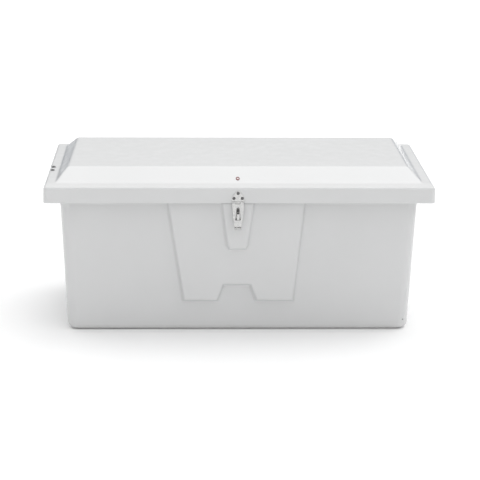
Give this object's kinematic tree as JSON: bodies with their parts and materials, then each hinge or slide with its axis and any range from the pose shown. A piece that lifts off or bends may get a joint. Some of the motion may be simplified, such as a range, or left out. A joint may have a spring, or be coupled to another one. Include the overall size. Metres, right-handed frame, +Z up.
{
  "type": "deck storage box",
  "caption": "Tapered moulded fibreglass deck storage box with an overhanging raised lid on a continuous hinge, a slotted hasp over a turning staple, and a gas spring.",
  "frame": {"origin": "bottom centre of the whole object's bounding box, on the ground", "axes": "+X to the right along the box's length, -Y is the front with the hasp, +Z up"},
  "size_m": [1.22, 0.6406, 0.518],
  "materials": {
    "gelcoat": "glossy white gelcoat over fibreglass laminate",
    "liner_coat": "smooth satin white inner skin",
    "foam": "rigid foam core",
    "rubber": "matt black sponge seal",
    "stainless": "brushed stainless steel",
    "polished_steel": "polished stainless steel",
    "black_paint": "gloss black paint",
    "red_plastic": "glossy red ring",
    "pale_plastic": "glossy pale button"
  },
  "bodies": {
    "chest": {"body_shell": "gelcoat", "rim_gasket": "rubber", "hinge_leaf_body": "stainless", "hinge_pin": "polished_steel", "hinge_strip_body": "stainless", "hinge_bolt_body_1": "polished_steel", "hinge_bolt_body_2": "polished_steel", "hinge_bolt_body_3": "polished_steel", "hinge_bolt_body_4": "polished_steel", "hinge_bolt_body_5": "polished_steel", "hinge_bolt_body_6": "polished_steel", "hinge_bolt_body_7": "polished_steel", "staple_plate": "stainless", "staple_backing": "stainless", "staple_bolt_1": "polished_steel", "staple_bolt_2": "polished_steel", "spring_bracket_body": "stainless", "spring_bolt_body_1": "polished_steel", "spring_bolt_body_2": "polished_steel", "spring_nut_body_1": "stainless", "spring_nut_body_2": "stainless", "spring_stud_lower": "polished_steel"},
    "lid": {"lid_shell": "gelcoat", "lid_liner": "liner_coat", "lid_core": "foam", "badge_ring": "red_plastic", "badge_button": "pale_plastic", "hinge_leaf_lid": "stainless", "hinge_strip_lid": "stainless", "hinge_bolt_lid_1": "polished_steel", "hinge_bolt_lid_2": "polished_steel", "hinge_bolt_lid_3": "polished_steel", "hinge_bolt_lid_4": "polished_steel", "hinge_bolt_lid_5": "polished_steel", "hinge_bolt_lid_6": "polished_steel", "hinge_bolt_lid_7": "polished_steel", "hasp_plate": "polished_steel", "hasp_backing": "stainless", "hasp_pin": "polished_steel", "hasp_bolt_1": "polished_steel", "hasp_bolt_2": "polished_steel", "hasp_bolt_3": "polished_steel", "spring_bracket_lid": "stainless", "spring_stud_upper": "polished_steel", "spring_bolt_lid_1": "polished_steel", "spring_bolt_lid_2": "polished_steel", "spring_nut_lid_1": "stainless", "spring_nut_lid_2": "stainless"},
    "strap": {"hasp_strap": "polished_steel"},
    "staple": {"staple_eye": "polished_steel", "eye_retainer": "stainless"},
    "gas_cylinder": {"spring_socket_lower": "black_paint", "spring_cylinder": "black_paint"},
    "gas_rod": {"spring_rod": "polished_steel", "spring_socket_upper": "black_paint"}
  },
  "joints": [
    {"name": "lid_hinge", "type": "hinge", "parent": "chest", "child": "lid", "pos_m": [0, 0.31679, 0.435], "axis": [-1, 0, 0], "range_deg": [0, 90]},
    {"name": "strap_swing", "type": "hinge", "parent": "lid", "child": "strap", "pos_m": [-0.005, -0.30122, 0.43812], "axis": [-1, 0, 0], "range_deg": [0, 160]},
    {"name": "staple_turn", "type": "hinge", "parent": "chest", "child": "staple", "pos_m": [-0.005, -0.28907, 0.39668], "axis": [0, -0.999, -0.0443], "range_deg": [0, 90]},
    {"name": "gas_pivot", "type": "hinge", "parent": "chest", "child": "gas_cylinder", "pos_m": [-0.536, 0.20759, 0.345], "axis": [-1, 0, 0], "range_deg": [0, 83.24]},
    {"name": "gas_stroke", "type": "slide", "parent": "gas_cylinder", "child": "gas_rod", "axis": [0, -0.9282, 0.372], "range_m": [0, 0.19538]}
  ],
  "couplings": [
    {"joint": "gas_pivot", "follows": "lid_hinge", "ratio": 0.9248},
    {"joint": "gas_stroke", "follows": "lid_hinge", "m_per_rad": 0.12437}
  ]
}
